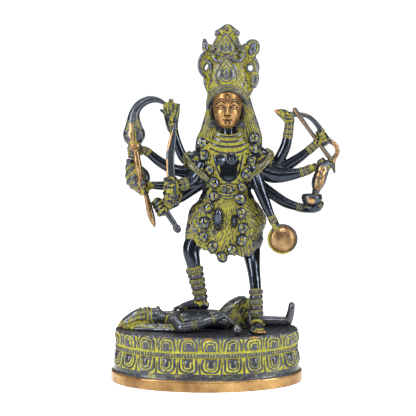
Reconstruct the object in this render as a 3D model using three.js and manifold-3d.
// A cast brass figure: a ten armed goddess stands on a reclining figure, on an oval double lotus
// plinth. Millimetres, +Z up, the front faces -Y. The origin is the middle of the plinth's underside.

import * as THREE from 'three';
import { mergeVertices } from 'three/addons/utils/BufferGeometryUtils.js';
import Module from 'manifold-3d';

const wasm = await Module();
wasm.setup();

// Driving dimensions of the plinth.
const plinthLength = 173.5; // over the rim, along X
const plinthDepth = 108; // over the rim, along Y
const plinthHeight = 47;
const rimHeight = 10; // plain polished band at the foot
const coveHeight = 5; // plain slope above the rim
const beadBandHeight = 5; // ribbed band between the two rows of petals
const rimRound = 1.4; // the rim's upper edge is rounded off this far
const waistInset = 5.6; // the lower petals' roots, and the upper ones', lie this far inside the rim
const bandInset = 5.1; // the ribbed band between them, inside the rim
const petalInset = 3.2; // the ground under the lower petals' tips, inside the rim
const topInset = 5.4; // the top edge, inside the rim
const petalRelief = 1.7;
const petalsPerRow = 22;

// Driving dimensions of the figures.
const figureHeight = 271.5; // standing figure, plinth top to crown tip
const figureX = 18; // her axis stands to the right of the plinth's middle
const endMargin = 1.5; // plinth top left free at each end of the reclining figure
const toeMargin = 5; // plinth top left free before her standing foot
const seatGap = 0.3; // between her feet and the reclining figure
const garlandHeads = 21;
const shinBands = 6; // rings on the leg that treads
const ankleBands = 5; // rings on the leg that stands
const braceletSpacing = 2.4; // between the rings at one wrist
const discDiameter = 26.8;
const bowlDiameter = 16.5;
const swordWidth = 6.4;
const bowstringDiameter = 3.4;
const crownPlateThickness = 6.8; // the flat frill behind the crown

// Values that follow from them.
const share = figureHeight / 100; // her own measure, a hundredth of her height
const topHalfLength = plinthLength / 2 - topInset;
const topHalfDepth = plinthDepth / 2 - topInset;
const lyingShare = (topHalfLength - endMargin) / 50; // a hundredth of the reclining figure's length
const chestTop = 10.2 * lyingShare; // the reclining chest, above the plinth

const vector = (place) => new THREE.Vector3(...place);
const mix = (a, b, t) => a + (b - a) * t;

// Solids

function signedVolume(positions, index) {
  const corners = [0, 1, 2].map(() => new THREE.Vector3());
  let volume = 0;
  for (let i = 0; i < index.count; i += 3) {
    corners.forEach((corner, k) => corner.fromBufferAttribute(positions, index.getX(i + k)));
    volume += corners[0].dot(corners[1].cross(corners[2])) / 6;
  }
  return volume;
}

// A closed geometry becomes a solid, with its faces turned outwards.
function solid(geometry) {
  geometry.deleteAttribute('normal');
  geometry.deleteAttribute('uv');
  const merged = mergeVertices(geometry, 1e-4);
  const { position } = merged.attributes;
  const triVerts = new Uint32Array(merged.index.array);
  if (signedVolume(position, merged.index) < 0) triVerts.reverse();
  return new wasm.Manifold(new wasm.Mesh({
    numProp: 3,
    vertProperties: new Float32Array(position.array),
    triVerts,
  }));
}

const join = (solids) => solids.reduce((whole, next) => whole.add(next));

// A closed skin over rings that all have the same number of points, with a point at either end.
function skin(rings, firstTip, lastTip) {
  const sides = rings[0].length;
  const points = [...rings.flat(), firstTip, lastTip];
  const last = (rings.length - 1) * sides;
  const faces = [];
  for (let k = 0; k < sides; k++) {
    const next = (k + 1) % sides;
    for (let row = 0; row < last; row += sides) {
      faces.push(row + k, row + next, row + next + sides);
      faces.push(row + k, row + next + sides, row + k + sides);
    }
    faces.push(points.length - 2, next, k);
    faces.push(points.length - 1, last + k, last + next);
  }
  const geometry = new THREE.BufferGeometry();
  geometry.setAttribute('position', new THREE.Float32BufferAttribute(points.flatMap((p) => p.toArray()), 3));
  geometry.setIndex(faces);
  return solid(geometry);
}

// A limb, staff or blade: an oval section carried along a curve. Each station is
// [x, y, z, half width, half thickness]. Bands are rings, at shares of the stations' run, that stand
// out by a factor, with one pitch between them.
function limb(stations, options = {}) {
  const { sides = 6, steps = 1, across = [0, 1, 0], size = share, grow = 0 } = options;
  const { bands = [], pitch = 0.06, rise = 1.25 } = options;
  const spans = stations.length - 1;
  const curve = new THREE.CatmullRomCurve3(
    stations.map(([x, y, z]) => vector([x, y, z]).multiplyScalar(size)), false, 'centripetal');
  const capShare = 0.6; // a round end stands out by this share of the half thickness
  const clear = (t) => bands.every((at) => Math.abs(t - at) > pitch * 0.6);
  const plain = Array.from({ length: spans * steps + 1 }, (_, i) => i / (spans * steps));
  const cuts = [
    ...plain.filter((t) => t === 0 || t === 1 || clear(t)).map((t) => [t, 1]),
    ...bands.flatMap((at) => [[at - pitch / 2, 1], [at, rise]]),
    ...bands.slice(-1).map((at) => [at + pitch / 2, 1]),
  ].sort((a, b) => a[0] - b[0]);

  const section = (t, girth, ahead = 0) => {
    const from = Math.min(Math.floor(t * spans), spans - 1);
    const [wide, thin] = [3, 4].map((k) => {
      const values = stations.slice(from, from + 2).map((station) => station[k] ?? station[3]);
      return mix(...values, t * spans - from) * size * girth + grow;
    });
    const along = curve.getTangent(t);
    const u = vector(across).addScaledVector(along, -vector(across).dot(along)).normalize();
    const v = along.clone().cross(u);
    const middle = curve.getPoint(t).addScaledVector(along, ahead * Math.min(wide, thin));
    const ring = Array.from({ length: sides }, (_, k) => {
      const angle = ((k + 0.5) / sides) * 2 * Math.PI;
      const outward = u.clone().multiplyScalar(wide * Math.cos(angle));
      return middle.clone().add(outward).addScaledVector(v, thin * Math.sin(angle));
    });
    return { ring, middle };
  };

  const rings = cuts.map(([t, girth]) => section(t, girth).ring);
  return skin(rings, section(0, 1, -capShare).middle, section(1, 1, capShare).middle);
}

// Where bands lie that start at one share of a run, with a pitch between them.
const bandsFrom = (start, count, pitch) => Array.from({ length: count }, (_, k) => start + k * pitch);

// A ball, or an egg with three half sizes, that may lean in the picture plane.
function ball([x, y, z], radii, { sides = 6, rows = 4, lean = 0, size = share } = {}) {
  const geometry = new THREE.SphereGeometry(1, sides, rows);
  geometry.rotateX(Math.PI / 2);
  geometry.scale(...radii.map((radius) => radius * size));
  geometry.rotateY(lean);
  geometry.translate(x * size, y * size, z * size);
  return solid(geometry);
}

// A body of oval levels, each [height, middle x, half width, middle y, half depth].
// shape(angle, height, side) gives the flute there and how far the hem drops.
function tower(levels, sides, shape = () => [1, 0]) {
  const rings = levels.map(([z, x, halfWidth, y, halfDepth]) => Array.from({ length: sides }, (_, k) => {
    const angle = (k / sides) * 2 * Math.PI;
    const [flute, drop] = shape(angle, z, k);
    return new THREE.Vector3(
      x + halfWidth * flute * Math.cos(angle), y + halfDepth * flute * Math.sin(angle), z - drop,
    ).multiplyScalar(share);
  }));
  const tip = ([z, x, , y]) => new THREE.Vector3(x, y, z).multiplyScalar(share);
  return skin(rings, tip(levels[0]), tip(levels.at(-1)));
}

// A flat plate of a given outline in the picture plane, with her axis in its middle.
function plate(shape, thickness) {
  const geometry = new THREE.ExtrudeGeometry(
    shape, { depth: thickness, bevelEnabled: false, curveSegments: 3 });
  geometry.translate(0, 0, -thickness / 2);
  geometry.rotateX(Math.PI / 2);
  return solid(geometry);
}

// A round dish or bowl: a profile of [share of the radius, height], turned on an upright axis.
function turned(profile, radius, height, sides) {
  const geometry = new THREE.LatheGeometry(
    profile.map(([x, y]) => new THREE.Vector2(x * radius, y * height)), sides);
  geometry.rotateX(Math.PI / 2);
  return geometry;
}

// Plinth

// Angles that cut an oval into equal lengths, starting a share of its girth past the front.
function ovalAngles(halfLength, halfDepth, count, start) {
  const fine = 1440;
  const point = (i) => {
    const angle = (i / fine) * 2 * Math.PI - Math.PI / 2;
    return { angle, x: halfLength * Math.cos(angle), y: halfDepth * Math.sin(angle) };
  };
  const runs = [0];
  for (let i = 1; i <= fine; i++) {
    const [a, b] = [point(i - 1), point(i)];
    runs.push(runs[i - 1] + Math.hypot(b.x - a.x, b.y - a.y));
  }
  return Array.from({ length: count }, (_, k) => {
    const run = ((k / count + start) % 1) * runs[fine];
    const i = runs.findIndex((value) => value > run) - 1;
    return mix(point(i).angle, point(i + 1).angle, (run - runs[i]) / (runs[i + 1] - runs[i]));
  });
}

// Whether a petal stands there: across runs from -1 to 1 between its grooves, up from root to tip.
function onPetal(across, up) {
  const shoulder = 0.55; // the petal narrows to its tip above this share of its length
  const widest = 0.85;
  const narrowing = Math.max(0, (up - shoulder) / (1.05 - shoulder));
  return Math.abs(across) <= widest * Math.sqrt(Math.max(0, 1 - narrowing ** 2));
}

function makePlinth() {
  const columnsPerPetal = 3; // the groove between two petals, and the petal's two sides
  const columns = petalsPerRow * columnsPerPetal;
  const angles = ovalAngles(plinthLength / 2, plinthDepth / 2, columns, 0.5 / petalsPerRow);
  const rowHeight = (plinthHeight - rimHeight - coveHeight - beadBandHeight) / 2;
  const lowerTip = rimHeight + coveHeight;
  const bandFoot = lowerTip + rowHeight;
  const upperRoot = bandFoot + beadBandHeight;
  const petalRow = (root, tip, rootInset, tipInset) => [0.1, 0.95].map((up) => ({
    z: mix(root, tip, up), inset: mix(rootInset, tipInset, up), up,
  }));
  const rows = [
    { z: 0, inset: 0 },
    { z: rimHeight - rimRound * 0.7, inset: rimRound * 0.3 },
    { z: rimHeight, inset: rimRound },
    { z: lowerTip, inset: petalInset },
    ...petalRow(bandFoot, lowerTip, waistInset, petalInset).reverse(),
    { z: bandFoot, inset: bandInset },
    { z: upperRoot, inset: bandInset },
    ...petalRow(upperRoot, plinthHeight, waistInset, topInset),
    { z: plinthHeight, inset: topInset },
  ];
  const rings = rows.map(({ z, inset, up }) => angles.map((angle, column) => {
    const across = (2 * (column % columnsPerPetal)) / columnsPerPetal - 1;
    const out = up !== undefined && onPetal(across, up) ? petalRelief - inset : -inset;
    return new THREE.Vector3(
      (plinthLength / 2 + out) * Math.cos(angle), (plinthDepth / 2 + out) * Math.sin(angle), z);
  }));
  return skin(rings, new THREE.Vector3(0, 0, 0), new THREE.Vector3(0, 0, plinthHeight));
}

// Everything above the plinth's top, in a frame whose zero is that top.
function aboveTop(shape) {
  const ground = new THREE.BoxGeometry(plinthLength * 2, plinthDepth * 2, plinthHeight);
  ground.translate(0, 0, -plinthHeight / 2);
  return shape.subtract(solid(ground));
}

// Standing figure, in hundredths of her height from the plinth's top, with x from her own axis.

const treadX = (-9.6 * lyingShare - figureX) / share; // the foot that treads, over the chest
const treadZ = (chestTop + seatGap) / share;
const standX = 9.8;
const plinthFront = topHalfDepth * Math.sqrt(1 - ((figureX + standX * share) / topHalfLength) ** 2);
const standToeY = -(plinthFront - toeMargin) / share;

function treadingLeg(grow = 0) {
  const shin = limb([
    [-9, 0.4, 31, 3.6, 3.6],
    [-11.6, -1.4, 26.5, 2.9, 3],
    [-11, -2.3, 21.6, 2.4, 2.5],
    [-9.8, -2, 16, 2.1, 2.2],
    [treadX + 3.6, -1.5, treadZ + 4.6, 1.9, 2],
    [treadX + 4.3, -1.5, treadZ + 1.8, 1.9, 2],
  ], {
    across: [1, 0, 0], grow, pitch: 0.076, bands: bandsFrom(0.48, shinBands, 0.076),
  });
  const foot = limb([
    [treadX + 4.6, -1.5, treadZ + 1.7, 1.8, 1.7],
    [treadX - 0.2, -1.7, treadZ + 1.9, 2.1, 1.9],
    [treadX - 4.8, -1.9, treadZ + 0.9, 1.9, 0.9],
  ], { grow });
  return shin.add(foot);
}

function standingLeg(grow = 0) {
  const shin = limb([
    [7, 0.2, 31, 4, 3.8],
    [7.6, -1.8, 26, 3.1, 3.2],
    [8.4, -3.4, 20.5, 2.2, 2.4],
    [9, -4.6, 14, 1.9, 2],
    [standX, standToeY + 7.6, 4.5, 1.9, 2],
    [standX, standToeY + 7.4, 1.8, 2, 2.1],
  ], {
    across: [1, 0, 0], grow, pitch: 0.068, bands: bandsFrom(0.64, ankleBands, 0.068),
  });
  const foot = limb([
    [standX, standToeY + 8, 1.5, 1.9, 1.8],
    [standX, standToeY + 4.4, 1.5, 2.3, 1.6],
    [standX, standToeY + 0.9, 0.5, 2.6, 1],
  ], { across: [1, 0, 0], grow });
  return shin.add(foot);
}

// Her trunk from the neck to the hem: [height, middle x, half width, middle y, half depth].
const trunkLevels = [
  [63.4, 0.5, 2.6, 0.6, 2.4],
  [61.4, 0.6, 7.4, 0.8, 3.4],
  [59.4, 0.6, 11, 0.8, 3.8],
  [55.6, 0.8, 11.6, 0.6, 4.6],
  [50.5, 0.5, 9.3, 0, 4.8],
  [46, 0, 8, 0, 4.2],
  [43.6, 0, 8.4, 0, 4.4],
  [43, 0, 9.4, 0, 5],
  [39.8, -0.3, 11.6, 0.2, 5.7],
  [36, 0, 13.1, 0.2, 6.1],
  [31, -0.8, 13, 0.2, 6.1],
  [26.4, -1.4, 12.8, 0, 5.7],
];
const waist = 43; // the skirt starts here

// The front of her body or skirt at a place in the picture plane.
function frontOf(x, z) {
  const below = trunkLevels.findIndex(([height]) => height <= z);
  const [upper, lower] = trunkLevels.slice(below < 0 ? -2 : below - 1).slice(0, 2);
  const up = Math.max(0, (z - lower[0]) / (upper[0] - lower[0]));
  const [middle, halfWidth, y, halfDepth] = [1, 2, 3, 4].map((k) => mix(lower[k], upper[k], up));
  return y - halfDepth * Math.sqrt(Math.max(0.05, 1 - ((x - middle) / halfWidth) ** 2));
}

// A raised cord that lies on the front of her body, along places in the picture plane.
const frontCord = (places, girth) => limb(
  places.map(([x, z]) => [x, frontOf(x, z) - girth * 0.2, z, girth]), { sides: 4 });

function makeTorso() {
  const hem = trunkLevels.at(-1)[0];
  const foldDepth = 0.045;
  const frontDrop = 1.6; // the hem hangs lower in front
  const fringeDrop = 0.6;
  const skirtFolds = (angle, z, k) => {
    const down = Math.max(0, (waist - z) / (waist - hem));
    const front = Math.max(0, -Math.sin(angle));
    const drop = down ** 3 * (frontDrop * front ** 3 + fringeDrop * (k % 2));
    return [1 + foldDepth * down * (k % 2 ? 1 : -1), drop];
  };
  const boss = (x, z, radii) => ball([x, frontOf(x, z) - 0.2, z], radii);
  return [
    tower(trunkLevels, 14, skirtFolds),
    limb([[0.3, 0.6, 68, 2.3], [0.5, 0.6, 61, 2.8]]),
    ball([-11.9, 0.8, 53.2], [4.8, 3, 5.8]),
    ball([13.1, 0.8, 54.5], [5.2, 3, 5]),
    ball([-2.3, -4.1, 56], [1.9, 1.7, 1.8]),
    ball([2.7, -4.1, 56], [1.9, 1.7, 1.8]),
    boss(0.4, 47.4, [1.5, 0.7, 1.6]),
    boss(-3, 36.8, [1.7, 1.2, 3.5]),
    boss(2.2, 36.5, [0.9, 0.8, 1.6]),
    frontCord([[-5.6, 61], [-2.6, 58.8], [0.5, 58], [3.6, 58.8], [6.6, 61]], 0.6),
    frontCord([[-12.6, 57.4], [-9.6, 53.4], [-5.8, 49.8]], 0.6),
    frontCord([[14.2, 57.4], [10.6, 53.4], [6.8, 50]], 0.6),
  ];
}

// A chain of small heads that hangs from both shoulders to the hem.
function makeGarland() {
  const chain = new THREE.CatmullRomCurve3([
    [-8.4, 61.4], [-5.8, 52.8], [-4.3, 46], [-6.9, 38], [-7.5, 31], [-1.6, 24.4],
    [5, 30], [4.9, 38], [4.5, 45], [7.4, 54], [8.8, 62.4],
  ].map(([x, z]) => new THREE.Vector3(x, 0, z)));
  return chain.getSpacedPoints(garlandHeads - 1)
    .map(({ x, z }) => ball([x, frontOf(x, z) - 0.5, z], [1.7, 1.3, 1.9], { sides: 5, rows: 3 }));
}

function makeHead() {
  const brow = 73.9; // thirds of the face, from hairline to chin
  const noseFoot = 70.1;
  const eyeLine = 73;
  const eyeSpacing = 2;
  const feature = (place, radii) => ball(place, radii, { sides: 5, rows: 3 });
  return [
    ball([0.1, -0.6, 72], [5, 5.2, 6.1], { sides: 10, rows: 7 }),
    limb([[0.1, -5.1, brow, 0.5], [0.1, -6.1, noseFoot + 0.5, 0.75]], { sides: 5 }),
    ...[-1, 1].map((side) => feature([0.1 + side * eyeSpacing, -4.9, eyeLine], [1.1, 0.8, 0.6])),
    feature([0.1, -5.2, 68.8], [1.3, 0.8, 0.6]),
    feature([0.1, -3.5, 67.2], [1.6, 1.8, 1.1]),
    ...[-1, 1].map((side) => feature([0.2 + side * 5.1, -1, 67], [1.1, 1.1, 1.3])),
  ];
}

function makeHair() {
  const levels = [
    [78, 0.6, 6.6, 1.2, 5],
    [73.5, 1, 7.5, 1.8, 4.6],
    [66, 1.2, 9.8, 2, 4.4],
    [61.8, 0.8, 11, 2, 4.4],
    [58.4, 0.6, 11.2, 2.6, 3.8],
    [52, 0.6, 8.8, 3.5, 2.7],
    [45, 0.5, 4, 3.4, 1.6],
  ];
  const lockDepth = 0.035;
  const parting = 0.75; // how far the hair draws back from the throat
  const parted = (angle, z, k) => {
    const front = Math.max(0, -Math.sin(angle));
    const open = parting * front ** 4 * Math.min(1, (levels[0][0] - z) / 6);
    return [1 + (k % 2 ? lockDepth : -lockDepth) - open, 0];
  };
  return [tower(levels, 14, parted)];
}

// The crown: a tall body, a flat frill with an eyed lobe at each side, a trefoil top, two drop jewels.
function makeCrown() {
  const frill = new THREE.Shape();
  const corner = (x, z) => frill.lineTo(x * share, z * share);
  const lobe = (x, z, radius, from, to) => frill.absarc(
    x * share, z * share, radius * share, THREE.MathUtils.degToRad(from), THREE.MathUtils.degToRad(to));
  frill.moveTo(-6 * share, 76.4 * share);
  corner(7.6, 76.4);
  corner(10, 81.6);
  lobe(8.1, 86.2, 2.6, -40, 50);
  lobe(8.3, 92.1, 2.6, -55, 150);
  corner(4.4, 93.2);
  lobe(2.4, 96.4, 1.5, -60, 70);
  lobe(0.1, 97.3, 2.7, 35, 145);
  lobe(-2.3, 96.4, 1.6, 110, 240);
  corner(-4.9, 93.4);
  corner(-7.8, 94.9);
  corner(-8.1, 91.2);
  lobe(-6.9, 87.6, 2.6, 140, 220);
  corner(-7.7, 82.8);
  corner(-7.6, 80.4);
  [[-6.9, 85.7, 0.8], [7.7, 85.3, 0.85]].forEach(([x, z, radius]) => {
    frill.holes.push(new THREE.Path().absarc(x * share, z * share, radius * share, 0, 2 * Math.PI, true));
  });
  const jewel = (x, y, z, halfWidth, up, down) => {
    return limb([
      [x, y, z - down, halfWidth * 0.45, 0.8],
      [x, y - 0.2, z, halfWidth, 1.4],
      [x, y + 0.5, z + up, 0.4, 0.4],
    ], { across: [1, 0, 0], steps: 2 });
  };
  const brimZ = 80;
  const brimDip = 1.6; // the brim rises over the brow and dips to the nape
  return [
    tower([
      [76.6, 0.4, 6.4, 0, 5.6],
      [77.4, 0.4, 6.9, 0, 6],
      [78.2, 0.5, 6.8, 0, 5.5],
      [80.5, 0.7, 7.2, 0, 5.3],
      [85, 0.4, 6, 0, 4.4],
      [91, 0.2, 5.2, 0, 3.2],
      [96, 0.1, 2.4, 0, 1.7],
    ], 10, (angle, z) => [1, z > brimZ ? 0 : brimDip * (0.25 + Math.sin(angle))]),
    plate(frill, crownPlateThickness),
    jewel(-0.2, -4.3, 83, 2.9, 5, 2.4),
    jewel(-0.5, -2.9, 92, 2.4, 4, 1.8),
  ];
}

// Hands

// An arm and its hand in one. Its bracelets start at a share of its stations' run.
function arm(stations, from, bracelets = 1) {
  const reach = vector(stations[0]).distanceTo(vector(stations.at(-1))) * share;
  const pitch = braceletSpacing / reach;
  return limb(stations, { pitch, bands: bandsFrom(from, bracelets, pitch) });
}

const thumb = (from, to) => limb([[...from, 0.7], [...to, 0.5]], { sides: 4 });

// Her right arms, at the left of the picture, from the top down.
function makeRightArms() {
  return [
    arm([
      [-9, 1, 54.6, 2.4], [-13.6, 1.5, 56, 1.7], [-16.2, 1.6, 61.5, 1.3], [-17.8, 1.4, 67.2, 1.2],
      [-18.4, 1, 70.4, 1.8, 1.8], [-18.2, 0.8, 73.4, 2, 2.6],
    ], 0.56),
    thumb([-18.6, 1, 70], [-21.2, 0.8, 71.6]),
    ball([-18.3, 0.7, 74.4], [0.7, 0.7, 0.8], { sides: 5, rows: 3 }),
    arm([
      [-9, 1.4, 51.6, 2.4], [-16.6, 1.1, 52.2, 1.9], [-22, 0.7, 55, 1.7], [-27.6, 0.2, 59, 1.4],
      [-31.6, 0, 59.2, 1.9],
    ], 0.68),
    arm([
      [-8.6, 0.6, 49.6, 2.6], [-15, 0, 47.6, 1.7], [-21, -0.3, 47.2, 1.5], [-25, -1, 47.6, 1.3],
      [-27.4, -1.8, 47, 2],
    ], 0.7),
    arm([
      [-8.8, -1.6, 54, 2.6], [-11.4, -4.2, 49.4, 2.2], [-14.6, -6, 48, 1.9], [-17.6, -7, 47.4, 1.6],
    ], 0.7, 2),
    limb([[-18.4, -7.4, 50, 1.7, 1.9], [-18.4, -7.4, 46.6, 1.9, 2.1], [-17.2, -7.2, 43.4, 1.4, 1.5]]),
    arm([
      [-8, 1, 48.6, 2.4], [-11.4, 1, 46, 2], [-15.4, 0.4, 43.3, 1.8], [-18.8, -0.4, 41.6, 1.6],
      [-21.4, -1, 41.2, 2.1, 2.2], [-21.8, -1.4, 37.2, 1, 1],
    ], 0.55),
  ];
}

// Her left arms, at the right of the picture, from the top down.
function makeLeftArms() {
  return [
    arm([
      [9.6, 1, 54, 2.4], [15.8, 1.6, 54.4, 1.9], [19.2, 1.6, 59.6, 1.8], [20.5, 1.5, 66.2, 1.7],
      [20.6, 1.1, 69.4, 1.7, 2.3], [16, 0.8, 71.4, 0.7, 0.9],
    ], 0.56),
    thumb([20.2, 1, 69.4], [22.2, 0.6, 70.8]),
    arm([
      [9.6, 1, 52.6, 2.6], [17, 1.2, 52.6, 2.1], [23, 0.8, 55.8, 1.7], [28.2, 0.3, 60, 1.4],
      [31.2, -0.3, 63, 2.3, 2.6],
    ], 0.7),
    arm([
      [9.6, -0.6, 53, 2.8], [15.4, -1.2, 50.8, 2.7], [20.6, -1.3, 50.9, 2.1], [25.4, -1.6, 52, 1.6],
      [28.6, -2, 53.8, 1.9, 2.3], [31.2, -2.2, 54.2, 1.6],
    ], 0.54, 2),
    arm([
      [8, 1.2, 49, 2.6], [14.4, 1.1, 44.8, 1.9], [19.4, 0.4, 41.6, 1.7], [24.4, -0.4, 40, 1.5],
      [27.8, -1.2, 39.8, 2.3, 1.1], [31, -1.4, 40.8, 1.7, 1],
    ], 0.52),
    arm([
      [8.4, -1.6, 53.4, 2.6], [10.6, -4.4, 46.8, 2.1], [13, -5.6, 40.6, 1.7], [14.8, -6, 36.6, 1.4],
      [16.2, -6, 34, 1.9],
    ], 0.68),
  ];
}

// What the hands hold

// The mace: a spear point below, a flared cup, a bud, and a curved horn that reaches the raised hand.
function makeMace() {
  return [
    limb([
      [-23.4, -4.1, 34.6, 0.4], [-24.4, -3.9, 38, 1.3], [-26.2, -3.5, 44.2, 0.9], [-28.2, -2.9, 52.6, 1],
      [-29.6, -2.6, 59.2, 2], [-30, -2.4, 60.6, 2.1], [-30.2, -2.2, 63.4, 3.1, 3.7],
      [-30.5, -2, 67.2, 2.4, 2.6], [-30.1, -1.6, 71.2, 1.5, 2], [-28, -1, 74, 1.3, 1.6],
      [-24.8, -0.2, 75.5, 1, 1.2], [-20.6, 0.6, 74.4, 0.7],
    ]),
    ball([-27.3, -4, 48.2], [1.1, 0.9, 0.9]),
  ];
}

function makeConch() {
  return [
    limb([
      [-27.6, -0.4, 45, 1.4], [-29.4, -0.4, 48.2, 2.8, 3.9], [-30.6, -0.5, 52, 2.2, 2.7],
      [-32.4, -0.6, 55.2, 1],
    ]),
  ];
}

function makeSword() {
  const half = swordWidth / 2 / share;
  return [
    limb([
      [-16.7, -5.4, 67.6, 0.35, 0.3], [-17.7, -6.4, 62, 0.55, half * 0.8], [-18.3, -7.6, 56, 0.6, half],
      [-17.9, -8.8, 49.6, 0.6, half], [-16.4, -8.8, 43.4, 0.6, half * 0.8],
    ]),
  ];
}

function makeClub() {
  return [
    limb([[-22.4, -1.8, 43.4, 1], [-19.6, -2.2, 38.4, 1.1], [-17, -2.6, 34.4, 1.05]]),
    ball([-16.4, -2.6, 33.2], [1.4, 1.4, 1.7], { lean: -0.6 }),
  ];
}

function makeBow() {
  const string = bowstringDiameter / 2 / share;
  return [
    limb([[22.3, 0, 71.8, string], [34, -0.8, 56, string]], { sides: 5 }),
    limb([
      [21.2, 0.4, 70.4, 0.8], [27.2, -0.4, 69.6, 0.8], [30, -0.4, 67.2, 0.8], [32.4, -0.6, 63.6, 0.9],
      [35.2, -0.4, 61, 0.8], [36.2, -0.4, 58.4, 0.8], [34.4, -0.8, 55.6, 0.8], [35, -2, 52, 0.5],
    ], { sides: 5 }),
  ];
}

// A severed head, hung by its hair, over a bowl that the hand below holds.
function makeHeadAndBowl() {
  const bowl = turned([[0, -1.5], [0.75, -1.3], [1, 0.2], [0.8, 1.2], [0, 0.6]], bowlDiameter / 2, share, 9);
  bowl.translate(27.9 * share, -1.5 * share, 42.7 * share);
  return [
    ball([30.1, -3, 49.6], [2.6, 2.6, 4.4], { sides: 8, rows: 6, lean: 0.3 }),
    limb([[30.8, -2.9, 51.8, 2.1], [33, -2.4, 53.9, 1.7], [35, -2, 53.4, 1]], { sides: 5 }),
    limb([[30, -4.6, 49.6, 0.35], [29.7, -5.9, 48.2, 0.5]], { sides: 5 }),
    limb([[29, -2.8, 46, 1.2], [28.4, -2, 42.8, 1.2]]),
    solid(bowl),
  ];
}

function makeDisc() {
  const radius = discDiameter / 2;
  const dish = turned(
    [[0, -0.42], [0.55, -0.34], [0.86, -0.12], [1, -0.1], [0.9, 0.2], [0, 0.32]], radius, radius, 12);
  dish.rotateX(-Math.PI / 2);
  dish.translate(18 * share, -6.6 * share, 30.3 * share);
  return [solid(dish)];
}

function makeStandingFigure() {
  const whole = join([
    treadingLeg(), standingLeg(),
    ...makeTorso(), ...makeGarland(), ...makeHead(), ...makeHair(), ...makeCrown(),
    ...makeRightArms(), ...makeLeftArms(),
    ...makeMace(), ...makeConch(), ...makeSword(), ...makeClub(),
    ...makeBow(), ...makeHeadAndBowl(), ...makeDisc(),
  ]);
  return aboveTop(whole);
}

// Reclining figure, in hundredths of its length from the plinth's middle, feet to the right.

function makeRecliningFigure() {
  const size = lyingShare;
  const deep = topHalfDepth / 48.6; // it spreads as far over the plinth's top as the plinth allows
  const part = (stations, options = {}) => limb(
    stations.map(([x, y, z, wide, thin = wide]) => [x, y * deep, z, wide * deep, thin]),
    { size, ...options });
  const head = ball([-29.4, -1.4 * deep, 5.8], [5, 4.4 * deep, 5.9], { size, sides: 7, rows: 5 });
  const bun = part([
    [-31.5, -1.6, 5.6, 4.6, 6.6], [-38.5, -2.4, 4.6, 3.9, 5.7], [-44.5, -2.6, 3, 2.5, 4.1],
    [-48.4, -2.8, 1.6, 1.2, 2.6],
  ], { bands: [0.3, 0.5], pitch: 0.2, rise: 1.12 });
  const neck = part([[-26, -0.6, 4.6, 5, 5.6], [-22.4, 0, 4.6, 5.4, 5.8], [-18, 1, 4.6, 5, 4.8]]);
  const trunk = part([
    [-20, 0, 4, 10.6, 4.4], [-12, 0, 4.8, 11, 5.4], [-3, 0, 5, 8.6, 5.2], [4, 0, 5, 8.8, 5.2],
    [11, 0, 4, 9.4, 5.4],
  ], { sides: 8 });
  const spreadHair = part([
    [-46, -4, 1, 3.2, 1.6], [-38, -6.4, 1.4, 5.8, 2.4], [-28, -7.8, 1.8, 8, 3], [-17, -11, 2, 7.4, 2.8],
  ]);
  const bentLeg = part([
    [9, -2, 5.4, 4.8], [15, 0, 11.8, 4.4], [20.6, 1.4, 14.8, 3.2], [22.8, 1.6, 9, 2.8],
    [23.4, 1.8, 2.4, 2.6],
  ]);
  const cloth = part([[12, 1, 1, 8, 1.4], [17, 1.2, 5.6, 6, 4], [21.4, 1.4, 8.6, 3.2, 5]]);
  const bentFoot = part([[22.6, 1.8, 1.6, 2.2, 1.8], [31, 2, 1, 2.4, 1.1]]);
  const straightLeg = part([
    [10, 6, 3.6, 5, 4], [24, 5, 3.2, 3.8, 3.6], [36, 3.4, 3, 3, 3], [46.4, 2.6, 3, 2.6, 2.8],
  ]);
  const upturnedFoot = part([
    [46.8, 2.6, 3, 2.6, 2.2], [48, 2.6, 7.6, 2.6, 1.8], [48.4, 2.6, 11.2, 1.8, 1.1],
  ]);
  const farArm = part([[-19, 8.6, 5, 3.6], [-8, 9.6, 3, 3], [4, 9.2, 2.6, 2.8], [12, 8, 2.6, 2.6]]);
  const nearArm = part([
    [-17, -9.6, 4.4, 3.6, 3.4], [-13.4, -16.6, 1.9, 2.4, 2.2], [-8.6, -15.4, 3.4, 2.4],
    [-1.8, -15.6, 5.6, 2.3], [4.4, -16.6, 8.4, 2.2], [9.6, -17.6, 10.4, 2], [13.6, -19.6, 7.4, 1.9],
    [15.8, -21, 4.4, 1.7],
  ], { bands: [0.42], rise: 1.3 });
  const fist = ball([16.8, -22.2 * deep, 2.8], [2.6, 2.6 * deep, 2.9], { size });
  const body = join([
    head, bun, neck, trunk, spreadHair, bentLeg, cloth, bentFoot, straightLeg, upturnedFoot,
    farArm, nearArm, fist,
  ]);
  const feet = join([treadingLeg(seatGap), standingLeg(seatGap)]).translate([figureX, 0, 0]);
  return aboveTop(body).subtract(feet);
}

// Meshes

function meshOf(name, shape, material) {
  const { numProp, vertProperties, triVerts } = shape.getMesh();
  const geometry = new THREE.BufferGeometry();
  const positions = Array.from({ length: vertProperties.length / numProp }, (_, i) => [
    ...vertProperties.slice(i * numProp, i * numProp + 3),
  ]).flat();
  geometry.setAttribute('position', new THREE.Float32BufferAttribute(positions, 3));
  geometry.setIndex([...triVerts]);
  geometry.computeVertexNormals();
  const mesh = new THREE.Mesh(geometry, material);
  mesh.name = name;
  return mesh;
}

const patina = (color) => new THREE.MeshStandardMaterial({ color, roughness: 0.38, metalness: 0.9 });

const plinth = meshOf('lotus_plinth', makePlinth(), patina(0x5d5f3a));
const reclining = meshOf('shiva_figure', makeRecliningFigure(), patina(0x3a3f45));
reclining.position.set(0, 0, plinthHeight);
const standing = meshOf('kali_figure', makeStandingFigure(), patina(0x4a4e3c));
standing.position.set(figureX, 0, plinthHeight);

const kali = new THREE.Group();
kali.name = 'kali';
kali.add(plinth, reclining, standing);

export default kali;
